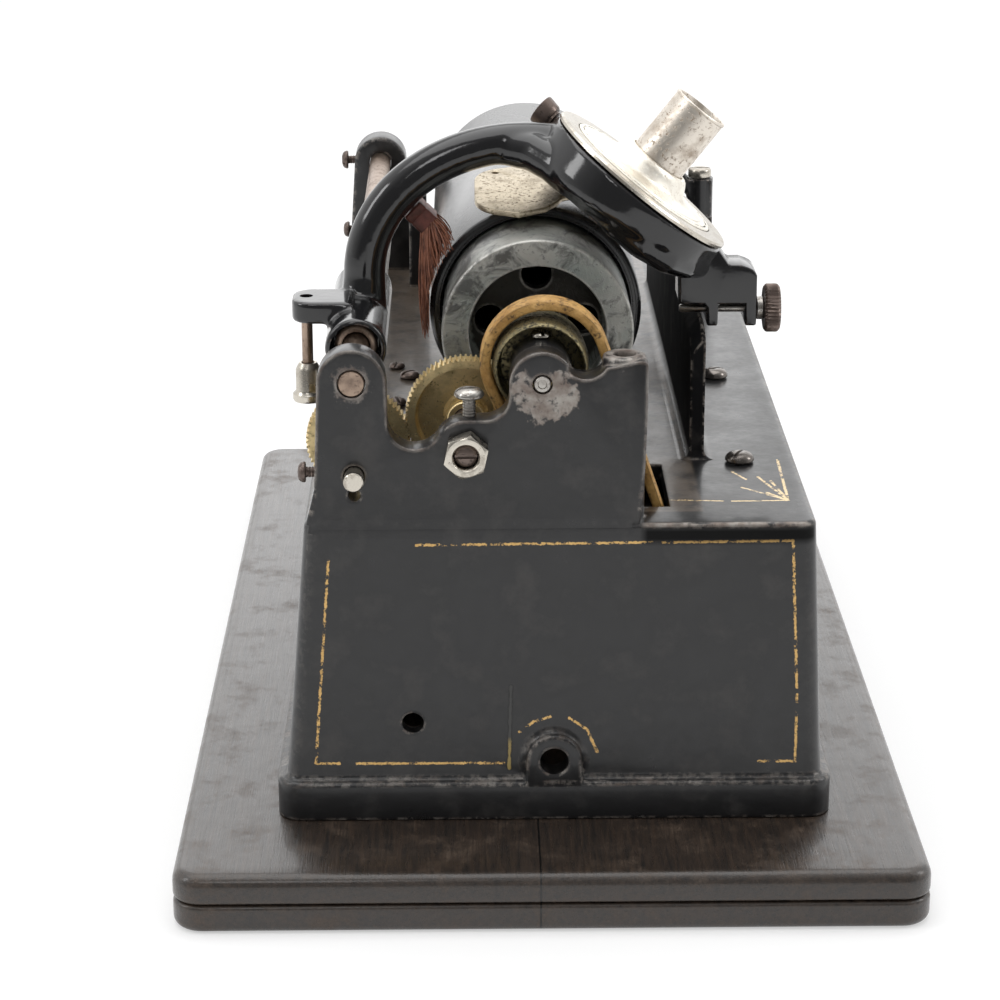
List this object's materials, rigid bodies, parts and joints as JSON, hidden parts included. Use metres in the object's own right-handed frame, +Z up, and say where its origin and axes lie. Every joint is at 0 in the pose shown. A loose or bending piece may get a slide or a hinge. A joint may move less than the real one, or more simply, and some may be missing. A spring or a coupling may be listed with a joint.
{
  "type": "cylinder phonograph",
  "caption": "desk cylinder phonograph: iron bed on a wooden plinth, belt-driven mandrel with a wax cylinder, geared feed screw and a swinging reproducer arm on a back rod",
  "frame": {"origin": "centre of the plinth's underside", "axes": "+X right, +Y from the pulley end to the gate end along the mandrel, +Z up"},
  "size_m": [0.1952, 0.364, 0.1974],
  "materials": {
    "black_japan": "satin black japan, worn brown at the bosses",
    "black_wood": "black-stained semi-gloss wood",
    "nickel": "aged nickel plate",
    "steel": "turned steel",
    "old_brass": "dull old brass",
    "coppered_steel": "steel with a copper-brown tone",
    "brown_steel": "oxidised brown steel",
    "zinc": "grey-green greasy metal",
    "black_wax": "glossy black wax",
    "tan_leather": "tan leather belt",
    "red_brown_ferrule": "red-brown painted block",
    "brown_bristle": "brown hair bristles",
    "mica": "pale mica",
    "gasket_rubber": "black rubber",
    "copper_winding": "varnished copper winding",
    "carbon": "carbon",
    "raw_iron": "dark iron"
  },
  "bodies": {
    "root": {"base_top_board": "black_wood", "base_lower_board": "black_wood", "base_screw_near": "steel", "base_screw_far": "steel", "body_casting": "black_japan", "back_rod": "coppered_steel", "near_bearing_bush": "old_brass", "bearing_oil_screw": "steel", "motor_hanger_screw_near": "brown_steel", "motor_hanger_screw_far": "brown_steel", "bed_screw_1": "brown_steel", "bed_screw_2": "brown_steel", "intermediate_stud": "steel", "stud_lock_nut": "nickel", "stud_lock_screw": "steel", "side_lock_screw_near": "brown_steel", "side_lock_screw_far": "brown_steel", "feed_centre_pin_near": "nickel", "feed_centre_pin_far": "nickel", "drive_belt": "tan_leather", "gate_hinge_pin": "nickel", "motor_case": "raw_iron", "motor_far_bell": "raw_iron", "field_winding": "copper_winding", "carbon_brush_left": "carbon", "carbon_brush_right": "carbon"},
    "mandrel_group": {"mandrel": "zinc", "mandrel_shaft": "steel", "wax_cylinder": "black_wax", "drive_pulley": "old_brass", "mandrel_pinion": "old_brass"},
    "intermediate": {"intermediate_gear": "old_brass"},
    "feed": {"feed_screw": "steel", "feed_gear": "old_brass"},
    "rotor": {"motor_shaft": "steel", "armature": "copper_winding", "motor_pulley": "old_brass", "governor_disc": "old_brass", "governor_weights": "old_brass"},
    "carriage": {"carriage_bushing": "coppered_steel"},
    "arm": {"carriage_arm": "black_japan", "half_nut_spring": "steel", "half_nut": "old_brass", "reproducer_body": "nickel", "diaphragm_gasket": "gasket_rubber", "diaphragm": "mica", "reproducer_cover": "nickel", "sound_tube": "nickel", "stylus_bar": "steel", "brush_ferrule": "red_brown_ferrule", "brush_bristles": "brown_bristle"},
    "weight": {"weight_leaf": "nickel"},
    "lift_rod_group": {"lift_rod": "coppered_steel", "lift_rod_clamp": "nickel"},
    "guide_screw": {"guide_thumb_screw": "brown_steel"},
    "clamp_knob": {"reproducer_clamp_knob": "brown_steel"},
    "gate": {"end_gate": "black_japan", "gate_centre_pin": "steel"},
    "rod_screw": {"rod_thumb_screw": "brown_steel"}
  },
  "joints": [
    {"name": "mandrel_spin", "type": "hinge", "parent": "root", "child": "mandrel_group", "pos_m": [-0.002, 0.005, 0.1351], "axis": [0, 1, 0], "continuous": true},
    {"name": "intermediate_spin", "type": "hinge", "parent": "root", "child": "intermediate", "pos_m": [-0.0215, -0.112, 0.1174], "axis": [0, 1, 0], "continuous": true},
    {"name": "feed_spin", "type": "hinge", "parent": "root", "child": "feed", "pos_m": [-0.0502, 0.005, 0.11099], "axis": [0, 1, 0], "continuous": true},
    {"name": "motor_spin", "type": "hinge", "parent": "root", "child": "rotor", "pos_m": [0.0292, -0.045, 0.0591], "axis": [0, 1, 0], "continuous": true},
    {"name": "carriage_slide", "type": "slide", "parent": "root", "child": "carriage", "axis": [0, 1, 0], "range_m": [0, 0.15]},
    {"name": "arm_lift", "type": "hinge", "parent": "carriage", "child": "arm", "pos_m": [-0.0505, -0.08, 0.1355], "axis": [0, -1, 0], "range_deg": [0, 40]},
    {"name": "weight_tilt", "type": "hinge", "parent": "arm", "child": "weight", "pos_m": [0.014, -0.06863, 0.16889], "axis": [0, 1, 0], "range_deg": [0, 5]},
    {"name": "lift_rod_swing", "type": "hinge", "parent": "arm", "child": "lift_rod_group", "pos_m": [-0.0643, -0.0925, 0.1373], "axis": [0, -1, 0], "range_deg": [-40, 0]},
    {"name": "guide_turn", "type": "hinge", "parent": "arm", "child": "guide_screw", "pos_m": [0.0584, -0.075, 0.1365], "axis": [1, 0, 0], "continuous": true},
    {"name": "clamp_knob_turn", "type": "hinge", "parent": "arm", "child": "clamp_knob", "pos_m": [0.00364, -0.06518, 0.18668], "axis": [-0.7354, 0.342, 0.585], "continuous": true},
    {"name": "rod_thumb_turn", "type": "hinge", "parent": "root", "child": "rod_screw", "pos_m": [-0.0593, 0.131, 0.1355], "axis": [-1, 0, 0], "continuous": true},
    {"name": "gate_swing", "type": "hinge", "parent": "root", "child": "gate", "pos_m": [0.058, 0.112, 0.1351], "axis": [0, 0, -1], "range_deg": [0, 95]}
  ],
  "couplings": [
    {"joint": "intermediate_spin", "follows": "mandrel_spin", "ratio": -0.66667},
    {"joint": "feed_spin", "follows": "mandrel_spin", "ratio": 0.77419},
    {"joint": "motor_spin", "follows": "mandrel_spin", "ratio": 1.26},
    {"joint": "lift_rod_swing", "follows": "arm_lift", "ratio": -1}
  ]
}
